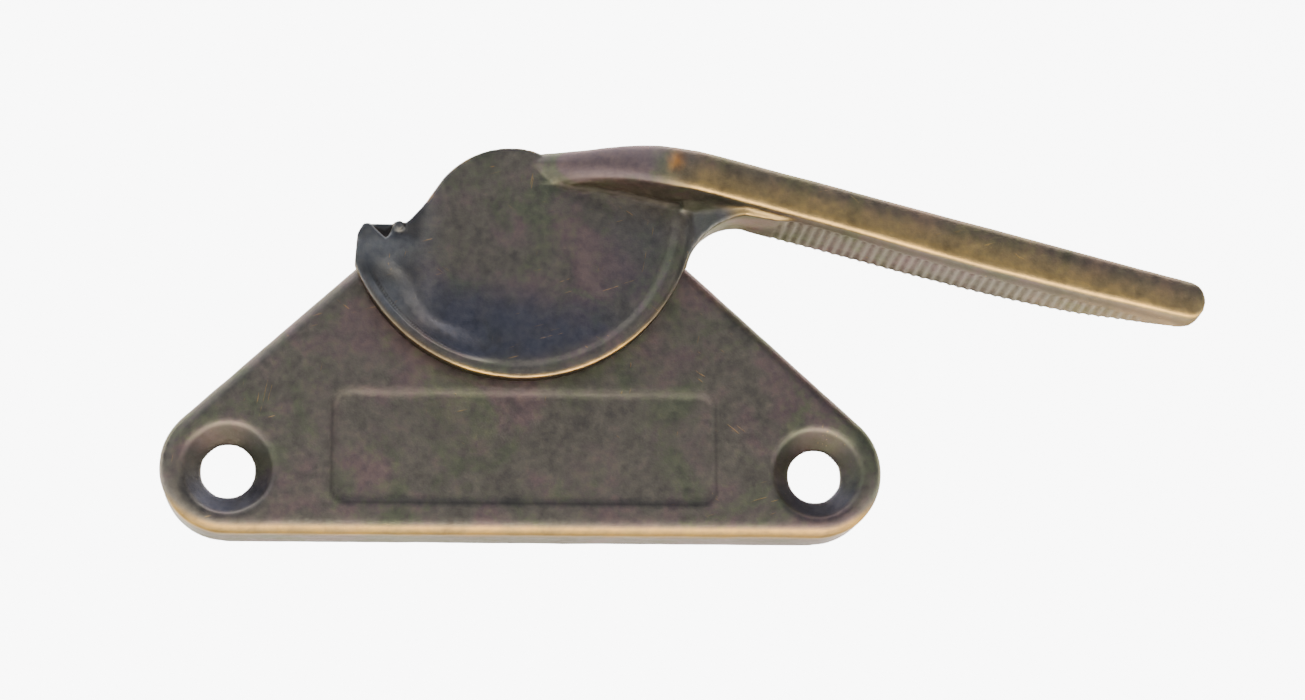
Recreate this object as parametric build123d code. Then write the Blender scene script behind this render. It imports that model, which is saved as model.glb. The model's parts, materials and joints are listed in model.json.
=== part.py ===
"""Crescent sash lock: a triangular cast base, a cam with a thumb lever, and the detent gear behind.

Millimetres.  Everything is drawn lying on its back: X to the right, Y up the window frame and Z
out of the mounting face towards the user.  upright() then stands each piece as it is fixed to a
window: X right, Z up, the front facing -Y, the mounting face on Y = 0, with the origin midway
between the two screw holes.  The lever is at rest to the right, with the lock open.
"""
from build123d import *
import os
from math import cos, radians, sin

# ---- base casting
HOLE_PITCH = 60.0          # between the two fixing screws
SCREW_HOLE_R = 2.65        # clears an M5 or No. 10 screw
COUNTERSINK_R = 4.7
COUNTERSINK_ANGLE = 82.0   # included angle of the screw seat
BASE_DEPTH = 7.0           # from the mounting face to the front
BASE_SKIN = 2.5            # thickness of the front wall
BASE_WALL = 1.8            # thickness of the side walls
BASE_EDGE_R = 1.3          # rounding of the front edge
END_X, END_Y, END_R = 30.1, 0.3, 6.8      # rounded ends, round each screw
PIVOT_Y = 24.8             # spindle axis, above the line of the screws
TOP_R = 9.1                # rounded top, round the spindle
PANEL_W, PANEL_H = 39.1, 11.5              # sunk plain panel on the front
PANEL_Y, PANEL_DEPTH, PANEL_R = 2.4, 0.3, 1.6

# ---- spindle seat in the base
SEAT_R, SEAT_DEPTH = 7.0, 1.0              # counterbore in the front for the bush flange
BUSH_R, BUSH_FLANGE_R, BUSH_FLANGE = 5.0, 6.8, 0.6
INNER_BOSS_R = 6.9
INNER_BOSS_Z = 4.0         # rear face of the boss inside the hollow

# ---- cam (the crescent)
CAM_BACK = 7.9             # rear face of the crescent
CAM_FRONT = 10.1           # front of its raised rim
RIM_X, RIM_Y, RIM_R = -0.7, 26.9, 17.95    # outer circle, set off the spindle to draw the sash in
RIM_WIDTH = 1.3
DISH_EDGE, DISH_SAG = 0.45, 0.75           # floor below the rim at its edge, and its further sag
HUB_X, HUB_Y, HUB_R = -1.5, 24.4, 9.1
CAM_BOSS_R = 6.6           # bears on the bush flange
NOSE_LEFT, NOSE_TOP = -17.45, 25.35        # the crescent's leading end
NOSE_INNER_X = -12.7

# ---- lever
LEVER_ANGLE = -14.2        # slope of the lever from the X axis
ELBOW_X, ELBOW_Y = 15.6, 32.25             # top edge at the elbow
LEVER_LENGTH = 56.3        # elbow to tip
LEVER_THICK = 5.2          # top edge to thumb face
LEVER_FRONT, LEVER_BACK = 16.0, 8.1        # depth of its front and rear edges
LEVER_TIP_BACK = 13.6      # where the rear edge has risen to at the tip
LEVER_STRAIGHT = 28.0      # straight stretch of the rear edge
LEVER_EDGE_R = 1.0
RIB_PITCH, RIB_R, RIB_COUNT = 0.97, 0.3, 38
RIB_START = 10.5           # first groove, from the elbow
RIB_TOP = 13.4             # the grooves stop short of the front edge
ROOT_END_X = 2.0           # where the lever's root sinks into the hub
WEB_X, WEB_Y, WEB_R = 21.5, 20.3, 5.0      # hollow between the crescent and the lever

# ---- spindle and the stack on it, rearwards from the boss
SPINDLE_R = 4.0
SPINDLE_HEAD_R = 5.2
SPINDLE_HEAD_Z = (7.3, 8.4)
SQUARE = 5.6               # across the flats
STACK_DISC = (4.0, 3.5)
STACK_BLOCK = (3.5, 1.7)
STACK_STOP = (1.7, 1.0)
RIVET_HEAD_R, RIVET_HEAD = 3.5, 0.6
RUNNING = 0.05             # radial clearance of running fits

# ---- detent
BLOCK_FLAT = 5.0           # spindle axis to the block's flats
BLOCK_ROUND = 6.3          # spindle axis to its rounded ends
LEAF_LENGTH, LEAF_THICK = 23.6, 0.5
LEAF_POST_X, LEAF_POST_W, LEAF_POST_H = 11.6, 2.6, 3.6
STOP_REACH, STOP_WIDTH = 8.4, 3.2
STOP_RIB_IN, STOP_RIB_OUT, STOP_RIB_H = 6.75, 9.4, 2.4

# ---- rear cover
COVER_THICK = 0.8
COVER_X = 20.0             # half width
COVER_GAP = 0.1
COVER_HOLE_R = 4.3
COVER_SCREW_R, COVER_SCREW_HEAD_R, COVER_SCREW_LENGTH = 1.1, 2.0, 3.4
COVER_POST_R = 2.3
COVER_SCREWS = [(sx * x, y) for x, y in ((16.2, 0.2), (13.8, 13.6)) for sx in (-1, 1)]


def disc(x, y, r, z0, z1):
    """A round solid on the Z direction, from z0 to z1."""
    return Pos(x, y, min(z0, z1)) * extrude(Circle(r), amount=abs(z1 - z0))


def block(x0, x1, y0, y1, z0, z1):
    """A rectangular solid between two corners."""
    return Pos((x0 + x1) / 2, (y0 + y1) / 2, (z0 + z1) / 2) * Box(x1 - x0, y1 - y0, z1 - z0)


def prism(points, z0, z1):
    """A closed straight-sided outline, from z0 to z1."""
    face = make_face(Polyline(*points, close=True))
    return Pos(0, 0, z0) * extrude(face, amount=z1 - z0)


def base_outline(inset=0.0):
    """The triangular outline: a band stretched round two end circles and the top circle."""
    ends = [Pos(sx * END_X, END_Y) * Edge.make_circle(END_R - inset) for sx in (-1, 1)]
    top = Pos(0, PIVOT_Y) * Edge.make_circle(TOP_R - inset)
    return make_hull([*ends, top])


def screw_hole(x):
    """A countersunk through hole for a fixing screw."""
    depth = (COUNTERSINK_R - SCREW_HOLE_R) / sin(radians(COUNTERSINK_ANGLE / 2)) * cos(
        radians(COUNTERSINK_ANGLE / 2))
    through = disc(x, 0, SCREW_HOLE_R, -1, BASE_DEPTH + 1)
    seat = Pos(x, 0, BASE_DEPTH - depth / 2) * Cone(SCREW_HOLE_R, COUNTERSINK_R, depth)
    return through + seat


def base_hollow():
    """The open space behind the front wall."""
    return extrude(base_outline(BASE_WALL), amount=BASE_DEPTH - BASE_SKIN)


def cover_outline(gap):
    """The rear cover's outline, inset by a gap from the ledge that it drops into."""
    whole = base_outline(BASE_WALL / 2 + gap)
    window = Pos(0, PIVOT_Y / 2) * Rectangle(2 * (COVER_X - gap), 4 * PIVOT_Y)
    return whole & window


def leaf_post(side):
    """A slotted block that holds one end of the leaf spring."""
    x = side * LEAF_POST_X
    leaf_y = PIVOT_Y - BLOCK_FLAT
    y0 = leaf_y - LEAF_THICK / 2 - LEAF_POST_H / 2
    x0, x1 = x - LEAF_POST_W / 2, x + LEAF_POST_W / 2
    post = block(x0, x1, y0, y0 + LEAF_POST_H, STACK_STOP[0] + 0.1, BASE_DEPTH - BASE_SKIN)
    slack = 0.08
    slot = block(x0 - 1, x1 + 1, leaf_y - LEAF_THICK - slack, leaf_y + slack, -1, STACK_DISC[1] + 0.1)
    return post - slot


def stop_rib(side):
    """A cast rib that the stop plate's lug lands on at one end of its swing."""
    xs = sorted((side * STOP_RIB_IN, side * STOP_RIB_OUT))
    y0 = PIVOT_Y + STOP_WIDTH / 2
    return block(*xs, y0, y0 + STOP_RIB_H, COVER_THICK + 0.1, BASE_DEPTH - BASE_SKIN)


def base_housing():
    """The cast base, hollow behind, with its posts and ribs."""
    shell = extrude(base_outline(), amount=BASE_DEPTH)
    front_edges = shell.faces().sort_by(Axis.Z)[-1].edges()
    shell = fillet(front_edges, BASE_EDGE_R)
    shell -= base_hollow()
    inside = disc(0, PIVOT_Y, INNER_BOSS_R, INNER_BOSS_Z, BASE_DEPTH - BASE_SKIN)
    for side in (-1, 1):
        inside += leaf_post(side)
        inside += stop_rib(side)
    for x, y in COVER_SCREWS:
        inside += disc(x, y, COVER_POST_R, COVER_THICK, BASE_DEPTH - BASE_SKIN)
    inside &= extrude(base_outline(BASE_WALL / 2), amount=BASE_DEPTH)
    shell += inside
    shell -= extrude(cover_outline(0.0), amount=COVER_THICK)
    panel = Pos(0, PANEL_Y, BASE_DEPTH - PANEL_DEPTH) * extrude(
        RectangleRounded(PANEL_W, PANEL_H, PANEL_R), amount=1)
    shell -= panel
    shell -= disc(0, PIVOT_Y, SEAT_R, BASE_DEPTH - SEAT_DEPTH, BASE_DEPTH + 1)
    shell -= disc(0, PIVOT_Y, BUSH_R, 0, BASE_DEPTH)
    for x, y in COVER_SCREWS:
        shell -= disc(x, y, COVER_SCREW_R, 0, COVER_SCREW_LENGTH + 0.2)
    for side in (-1, 1):
        shell -= screw_hole(side * HOLE_PITCH / 2)
    return shell


def spindle_bush():
    """A flanged bush in the base that the spindle turns in."""
    flange_top = BASE_DEPTH - SEAT_DEPTH + BUSH_FLANGE
    bush = disc(0, PIVOT_Y, BUSH_R, INNER_BOSS_Z, flange_top)
    bush += disc(0, PIVOT_Y, BUSH_FLANGE_R, flange_top - BUSH_FLANGE, flange_top)
    return bush - disc(0, PIVOT_Y, SPINDLE_R + RUNNING, 0, BASE_DEPTH)


def spindle():
    """The steel spindle: cast-in head, round journal, square, and riveted end."""
    pin = disc(0, PIVOT_Y, SPINDLE_HEAD_R, *SPINDLE_HEAD_Z)
    pin += disc(0, PIVOT_Y, SPINDLE_R, STACK_DISC[1], SPINDLE_HEAD_Z[0])
    half = SQUARE / 2
    pin += block(-half, half, PIVOT_Y - half, PIVOT_Y + half, STACK_STOP[1], STACK_BLOCK[0])
    rivet_end = STACK_STOP[1] - RIVET_HEAD
    pin += disc(0, PIVOT_Y, RIVET_HEAD_R, rivet_end, STACK_STOP[1])
    rivet_edge = pin.faces().sort_by(Axis.Z)[0].edges()
    return fillet(rivet_edge, RIVET_HEAD * 0.6)


def square_hole():
    """The square that the parts driven by the spindle have through them."""
    half = SQUARE / 2
    return block(-half, half, PIVOT_Y - half, PIVOT_Y + half, 0, INNER_BOSS_Z)


def disc_spring():
    """A shallow conical spring washer that takes up the end play."""
    inner, outer, thick = SPINDLE_R + 0.15, 6.4, 0.3
    z_rear, z_front = STACK_DISC[1], STACK_DISC[0]
    profile = make_face(Polyline(
        (inner, 0, z_rear), (inner, 0, z_rear + thick), (outer, 0, z_front), (outer, 0, z_front - thick),
        close=True))
    return Pos(0, PIVOT_Y) * revolve(profile, Axis.Z)


def detent_block():
    """The block with two flats that snap onto the leaf spring at each end of the swing."""
    body = disc(0, PIVOT_Y, BLOCK_ROUND, *STACK_BLOCK)
    body &= block(-BLOCK_ROUND, BLOCK_ROUND, PIVOT_Y - BLOCK_FLAT, PIVOT_Y + BLOCK_FLAT, 0, INNER_BOSS_Z)
    return body - square_hole()


def stop_plate():
    """The steel plate whose lug limits the swing."""
    plate = disc(0, PIVOT_Y, BLOCK_FLAT, *STACK_STOP)
    half = STOP_WIDTH / 2
    plate += block(0, STOP_REACH, PIVOT_Y - half, PIVOT_Y + half, STACK_STOP[1], STACK_STOP[0])
    return plate - square_hole()


def leaf_spring():
    """The flat spring that bears on the detent block's flat."""
    y = PIVOT_Y - BLOCK_FLAT
    return block(-LEAF_LENGTH / 2, LEAF_LENGTH / 2, y - LEAF_THICK, y, STACK_BLOCK[1] + 0.1, STACK_BLOCK[0])


def back_cover():
    """The pressed cover that closes the hollow behind the gear."""
    plate = extrude(cover_outline(COVER_GAP), amount=COVER_THICK)
    plate -= disc(0, PIVOT_Y, COVER_HOLE_R, -1, COVER_THICK + 1)
    for x, y in COVER_SCREWS:
        plate -= disc(x, y, COVER_SCREW_R, -1, COVER_THICK + 1)
        plate -= Pos(x, y, COVER_THICK / 2) * Cone(COVER_SCREW_HEAD_R, COVER_SCREW_R, COVER_THICK)
    return plate


def cover_screw(x, y):
    """A small countersunk screw with a cross recess."""
    head = Pos(x, y, COVER_THICK / 2) * Cone(COVER_SCREW_HEAD_R, COVER_SCREW_R, COVER_THICK)
    screw = head + disc(x, y, COVER_SCREW_R, COVER_THICK, COVER_SCREW_LENGTH)
    for long_x, long_y in ((1.1, 0.2), (0.2, 1.1)):
        screw -= block(x - long_x, x + long_x, y - long_y, y + long_y, -1, 0.45)
    return screw


def crescent_outline():
    """The crescent's outline: the rim circle cut off above, joined to the hub."""
    mouth = make_face(Polyline(
        (NOSE_LEFT, RIM_Y - RIM_R), (NOSE_LEFT, NOSE_TOP - 1.3), (NOSE_LEFT + 1.2, NOSE_TOP),
        (NOSE_INNER_X - 1.2, NOSE_TOP), (NOSE_INNER_X, NOSE_TOP - 0.4), (HUB_X - 6.9, HUB_Y + 5.4),
        (HUB_X + 6, HUB_Y + 6), (RIM_X + RIM_R, RIM_Y + 3), (RIM_X + RIM_R, RIM_Y - RIM_R), close=True))
    rim = Pos(RIM_X, RIM_Y) * Circle(RIM_R)
    hub = Pos(HUB_X, HUB_Y) * Circle(HUB_R)
    return (rim & mouth) + hub


def dish():
    """The hollow in the crescent's front: a step below the rim, then a shallow bowl."""
    edge_r = RIM_R - RIM_WIDTH
    edge_z = CAM_FRONT - DISH_EDGE
    ball_r = (edge_r ** 2 + DISH_SAG ** 2) / (2 * DISH_SAG)
    ball = Pos(RIM_X, RIM_Y, edge_z - DISH_SAG + ball_r) * Sphere(ball_r)
    return ball & disc(RIM_X, RIM_Y, edge_r, CAM_BACK, CAM_FRONT + 2)


def lever_point(along, across):
    """A point of the lever's own frame: along it from the elbow, and across it, down from its top."""
    ca, sa = cos(radians(LEVER_ANGLE)), sin(radians(LEVER_ANGLE))
    return (ELBOW_X + along * ca + across * sa, ELBOW_Y + along * sa - across * ca)


def lever_side_profile():
    """The lever seen along its thumb face, as a solid wide enough to cut the lever from."""
    ca, sa = cos(radians(LEVER_ANGLE)), sin(radians(LEVER_ANGLE))
    side = Plane(origin=(ELBOW_X, ELBOW_Y, 0), x_dir=(ca, sa, 0), z_dir=(sa, -ca, 0))
    bend = (LEVER_LENGTH + LEVER_STRAIGHT) / 2 + 1
    curve = ThreePointArc(
        (LEVER_STRAIGHT, LEVER_BACK), (bend, LEVER_BACK + 1.5), (LEVER_LENGTH, LEVER_TIP_BACK))
    rest = Polyline(
        (LEVER_LENGTH, LEVER_TIP_BACK), (LEVER_LENGTH, LEVER_FRONT - 0.4), (0, LEVER_FRONT),
        (0, LEVER_BACK), (LEVER_STRAIGHT, LEVER_BACK))
    return extrude(side * make_face(curve + rest), amount=20, both=True)


def thumb_grooves(across):
    """The row of fine grooves along one face of the lever."""
    cutters = []
    for i in range(RIB_COUNT):
        x, y = lever_point(RIB_START + i * RIB_PITCH, across)
        cutters.append(disc(x, y, RIB_R, 0, RIB_TOP))
    return Compound(cutters)


def lever_blade():
    """The straight part of the lever beyond the elbow."""
    tip_r = 1.5
    corners = [(0, 0), (LEVER_LENGTH, 0), (LEVER_LENGTH, LEVER_THICK), (0, LEVER_THICK)]
    outline = make_face(Polyline(*[lever_point(*c) for c in corners], close=True))
    tip = outline.vertices().sort_by(Axis.X)[-2:]
    outline = fillet(tip, tip_r)
    blade = extrude(outline, amount=20) & lever_side_profile()
    front = blade.faces().filter_by(lambda f: f.center().Z > LEVER_TIP_BACK + 1.5)
    edges = [e for f in front for e in f.edges() if e.center().X > ELBOW_X + 2]
    return fillet(edges, LEVER_EDGE_R)


def lever_root():
    """The arm that climbs from the hub's top to the elbow."""
    top = (HUB_X, HUB_Y + HUB_R)
    plan = prism(
        [top, (top[0] + 7, top[1] - 0.7), (ELBOW_X - 3, ELBOW_Y + 0.4), lever_point(0, 0),
         lever_point(0.6, LEVER_THICK - 0.7), (ELBOW_X - 4.5, top[1] - 4.3),
         (ROOT_END_X, top[1] - 2.4)], CAM_BACK, LEVER_FRONT)
    run = [(top[0], CAM_BACK), (ELBOW_X + 4, CAM_BACK), (ELBOW_X + 4, LEVER_FRONT),
           (ELBOW_X - 1.5, LEVER_FRONT), (top[0], CAM_FRONT - 0.6)]
    face = make_face(Plane.XZ * Polyline(*run, close=True))
    return plan & extrude(face, amount=-60)


def lever_web():
    """The web that ties the crescent's right end to the lever."""
    plan = prism(
        [(WEB_X - WEB_R - 2, WEB_Y + 0.6), (WEB_X - WEB_R, WEB_Y + 0.6), (WEB_X, WEB_Y + WEB_R),
         lever_point(9, LEVER_THICK), lever_point(9, LEVER_THICK / 2), lever_point(0, LEVER_THICK / 2),
         (WEB_X - WEB_R - 2, RIM_Y)], CAM_BACK, LEVER_FRONT)
    plan -= disc(WEB_X, WEB_Y, WEB_R, 0, 20)
    run = [(0, CAM_BACK), (WEB_X + 6, CAM_BACK), (WEB_X + 6, LEVER_FRONT - 1), (WEB_X + 2, LEVER_FRONT - 2),
           (WEB_X - WEB_R + 1, CAM_FRONT - 0.1), (0, CAM_FRONT - 0.1)]
    face = make_face(Plane.XZ * Polyline(*run, close=True))
    return plan & extrude(face, amount=-60)


def nose_lead_in():
    """The slanting cut on the crescent's leading end."""
    depth = CAM_FRONT - 1.1
    points = [(NOSE_LEFT + 0.9, NOSE_TOP + 0.1), (NOSE_INNER_X - 1.2, NOSE_TOP + 0.1),
              (NOSE_INNER_X - 1.3, NOSE_TOP - 1.8)]
    return prism(points, depth, CAM_FRONT + 1)


def cam_lever():
    """The crescent, hub and lever: one casting."""
    cam = Pos(0, 0, CAM_BACK) * extrude(crescent_outline(), amount=CAM_FRONT - CAM_BACK)
    cam -= dish()
    cam -= nose_lead_in()
    cam += lever_root()
    cam += lever_web()
    cam += lever_blade()
    cam += disc(0, PIVOT_Y, CAM_BOSS_R, BASE_DEPTH - SEAT_DEPTH + BUSH_FLANGE, CAM_BACK)
    cam -= disc(0, PIVOT_Y, SPINDLE_R, 0, SPINDLE_HEAD_Z[0])
    cam -= disc(0, PIVOT_Y, SPINDLE_HEAD_R, *SPINDLE_HEAD_Z)
    for across in (0.0, LEVER_THICK):
        cam -= thumb_grooves(across)
    return cam


def upright(shape):
    """Stand a piece drawn on its back up against the window frame."""
    return Rot(90, 0, 0) * shape


NODES = {
    "base_housing": base_housing,
    "spindle_bush": spindle_bush,
    "cam_lever": cam_lever,
    "spindle": spindle,
    "disc_spring": disc_spring,
    "detent_block": detent_block,
    "leaf_spring": leaf_spring,
    "stop_plate": stop_plate,
    "back_cover": back_cover,
    "cover_screws": lambda: Compound([cover_screw(x, y) for x, y in COVER_SCREWS]),
}


os.makedirs("parts", exist_ok=True)
for node, make in NODES.items():
    export_step(upright(make()), f"parts/{node}.step")
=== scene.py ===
import json
import logging
from dataclasses import dataclass, field
from enum import Enum
from math import asin, cos, degrees, pi, radians, sin, sqrt
from typing import Callable, Sequence

import bmesh
import bpy
import numpy as np
from bmesh.types import BMesh
from mathutils import Matrix, Vector, noise


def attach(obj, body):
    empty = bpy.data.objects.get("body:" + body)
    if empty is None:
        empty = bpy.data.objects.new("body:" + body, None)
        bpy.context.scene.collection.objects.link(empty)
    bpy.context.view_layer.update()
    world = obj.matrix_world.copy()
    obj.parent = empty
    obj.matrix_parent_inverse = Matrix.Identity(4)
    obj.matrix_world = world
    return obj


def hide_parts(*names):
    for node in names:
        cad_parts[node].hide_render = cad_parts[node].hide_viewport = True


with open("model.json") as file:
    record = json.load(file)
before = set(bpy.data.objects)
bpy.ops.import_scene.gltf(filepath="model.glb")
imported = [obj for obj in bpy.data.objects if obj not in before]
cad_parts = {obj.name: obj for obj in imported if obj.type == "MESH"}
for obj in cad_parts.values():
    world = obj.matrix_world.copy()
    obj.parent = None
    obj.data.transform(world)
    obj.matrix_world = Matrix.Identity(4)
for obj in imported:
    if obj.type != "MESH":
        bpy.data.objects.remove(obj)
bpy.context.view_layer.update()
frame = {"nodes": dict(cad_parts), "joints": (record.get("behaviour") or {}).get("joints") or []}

LOG = logging.getLogger("sash_lock")
MM = 0.001

# From the bench frame, which lies on its back in millimetres, to the upright row frame in metres.
STAND = Matrix(((MM, 0, 0, 0), (0, 0, -MM, 0), (0, MM, 0, 0), (0, 0, 0, 1)))

Point2 = tuple[float, float]
Point3 = tuple[float, float, float]


class Body(Enum):
    """The two bodies that the lock's joint connects."""

    BASE = "base"
    CAM = "cam"


class Steel(Enum):
    """How a small steel part inside the lock was finished."""

    TURNED = "turned"
    BLUED = "blued"
    PRESSED = "pressed"
    PLATED = "plated"


# ---------------------------------------------------------------- shader building


class Wire:
    """A shader value, as an output socket, that takes part in ordinary arithmetic."""

    def __init__(self, shader: "Shader", socket: bpy.types.NodeSocket | None) -> None:
        """Wrap one output socket of a shader."""
        self.shader = shader
        self.socket = socket

    def _math(self, operation: str, *values: "Wire | float") -> "Wire":
        """Add one Math node.

        Args:
            operation: The node's operation.
            values: Its inputs, in order.

        Returns:
            The node's output.
        """
        return self.shader.node("ShaderNodeMath", {"operation": operation}, dict(enumerate(values)))

    def __add__(self, other: "Wire | float") -> "Wire":
        """Return the sum."""
        return self._math("ADD", self, other)

    def __radd__(self, other: float) -> "Wire":
        """Return the sum with a number on the left."""
        return self._math("ADD", other, self)

    def __sub__(self, other: "Wire | float") -> "Wire":
        """Return the difference."""
        return self._math("SUBTRACT", self, other)

    def __rsub__(self, other: float) -> "Wire":
        """Return a number less this value."""
        return self._math("SUBTRACT", other, self)

    def __mul__(self, other: "Wire | float") -> "Wire":
        """Return the product."""
        return self._math("MULTIPLY", self, other)

    def __rmul__(self, other: float) -> "Wire":
        """Return the product with a number on the left."""
        return self._math("MULTIPLY", other, self)

    def highest(self, other: "Wire | float") -> "Wire":
        """Return the larger of two values."""
        return self._math("MAXIMUM", self, other)

    def step(self, low: float, high: float) -> "Wire":
        """Return a smooth rise from 0 at low to 1 at high.

        Args:
            low: Where the rise starts.
            high: Where it ends; below low, the step falls instead.

        Returns:
            The stepped value.
        """
        settings = {"interpolation_type": "SMOOTHSTEP"}
        inputs = {"Value": self, "From Min": low, "From Max": high, "To Min": 0.0, "To Max": 1.0}
        return self.shader.node("ShaderNodeMapRange", settings, inputs)


Value = Wire | float | Sequence[float]


class Shader:
    """One material, or the world, and the means to add nodes to it."""

    def __init__(self, owner: bpy.types.Material | bpy.types.World) -> None:
        """Start with no nodes.

        Args:
            owner: The material or world that the nodes belong to.
        """
        self.owner = owner
        owner.use_nodes = True
        self.tree = owner.node_tree
        self.tree.nodes.clear()

    @classmethod
    def named(cls, name: str) -> "Shader":
        """Return the shader of a new material."""
        return cls(bpy.data.materials.new(name))

    def node(self, kind: str, settings: dict[str, object] | None = None,
             inputs: dict[str | int, Value] | None = None, output: str | int = 0) -> Wire:
        """Add any node.

        Args:
            kind: The node's type.
            settings: Its properties, set before its inputs; "stops" is a ramp's positions and colours.
            inputs: Values or links for its input sockets, by name or number.
            output: The output that is wanted.

        Returns:
            That output, which an output node has none of.
        """
        made = self.tree.nodes.new(kind)
        for key, value in (settings or {}).items():
            if key == "stops":
                self._set_stops(made.color_ramp.elements, value)
            else:
                setattr(made, key, value)
        for key, value in (inputs or {}).items():
            socket = made.inputs[key]
            if isinstance(value, Wire):
                self.tree.links.new(value.socket, socket)
            else:
                socket.default_value = (*value, 1.0) if socket.type == "RGBA" else value
        return Wire(self, made.outputs[output] if made.outputs else None)

    @staticmethod
    def _set_stops(elements: bpy.types.ColorRampElements, stops: Sequence[tuple[float, Point3]]) -> None:
        """Give a ramp its stops.

        Args:
            elements: The ramp's elements, of which a new ramp has two.
            stops: Position and colour of each stop, from low to high.
        """
        while len(elements) < len(stops):
            elements.new(0.5)
        for element, (position, rgb) in zip(elements, stops):
            element.position = position
            element.color = (*rgb, 1.0)

    def ramp(self, value: Wire, stops: Sequence[tuple[float, Point3]]) -> Wire:
        """Colour a value by a ramp.

        Args:
            value: What drives the ramp.
            stops: Position and colour of each stop, from low to high.

        Returns:
            The colour.
        """
        return self.node("ShaderNodeValToRGB", {"stops": stops}, {"Fac": value})

    def place(self) -> Wire:
        """Return the Object coordinates."""
        return self.node("ShaderNodeTexCoord", output="Object")

    def turned(self, stretch: Point3, angle: Point3 = (0, 0, 0)) -> Wire:
        """Return Object coordinates on turned axes.

        Args:
            stretch: How far a pattern is drawn out along each turned axis.
            angle: Turn about each axis, in degrees.

        Returns:
            The coordinates.
        """
        inputs = {"Vector": self.place(), "Scale": stretch, "Rotation": [radians(a) for a in angle]}
        return self.node("ShaderNodeMapping", {"vector_type": "TEXTURE"}, inputs)

    def noise(self, grain_mm: float, detail: float = 3.0, rough: float = 0.55, warp: float = 0.0,
              where: Wire | None = None) -> Wire:
        """Return fractal noise.

        Args:
            grain_mm: Rough size of the largest spots, in millimetres.
            detail: Octaves.
            rough: How strong the finer octaves are.
            warp: Distortion.
            where: Coordinates, or Object coordinates if left out.

        Returns:
            A value near 0.5, mostly from 0.25 to 0.75.
        """
        inputs = {"Vector": where or self.place(), "Scale": 1 / (grain_mm * MM), "Detail": detail,
                  "Roughness": rough, "Distortion": warp}
        return self.node("ShaderNodeTexNoise", {}, inputs)

    def attribute(self, name: str) -> Wire:
        """Return a number stored on the mesh's points."""
        return self.node("ShaderNodeAttribute", {"attribute_name": name}, output="Fac")

    def mix(self, factor: Value, low: Value, high: Value, blend: str = "MIX") -> Wire:
        """Mix two colours.

        Args:
            factor: Share of the second colour.
            low: First colour.
            high: Second colour.
            blend: How they are combined.

        Returns:
            The mixed colour.
        """
        settings = {"data_type": "RGBA", "blend_type": blend}
        return self.node("ShaderNodeMix", settings, {0: factor, 6: low, 7: high}, output=2)

    def bump(self, height: Wire, depth_mm: float) -> Wire:
        """Turn a height into a normal.

        Args:
            height: Height from 0 to 1.
            depth_mm: What a height of 1 stands for.

        Returns:
            The normal.
        """
        return self.node("ShaderNodeBump", {}, {"Height": height, "Distance": depth_mm * MM, "Strength": 1.0})

    def surface(self, inputs: dict[str, Value]) -> bpy.types.Material:
        """Finish the material with a Principled shader.

        Args:
            inputs: Values or links for the shader's sockets.

        Returns:
            The material.
        """
        shader = self.node("ShaderNodeBsdfPrincipled", inputs=inputs)
        self.node("ShaderNodeOutputMaterial", inputs={"Surface": shader})
        return self.owner


# ---------------------------------------------------------------- finishes


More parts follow.
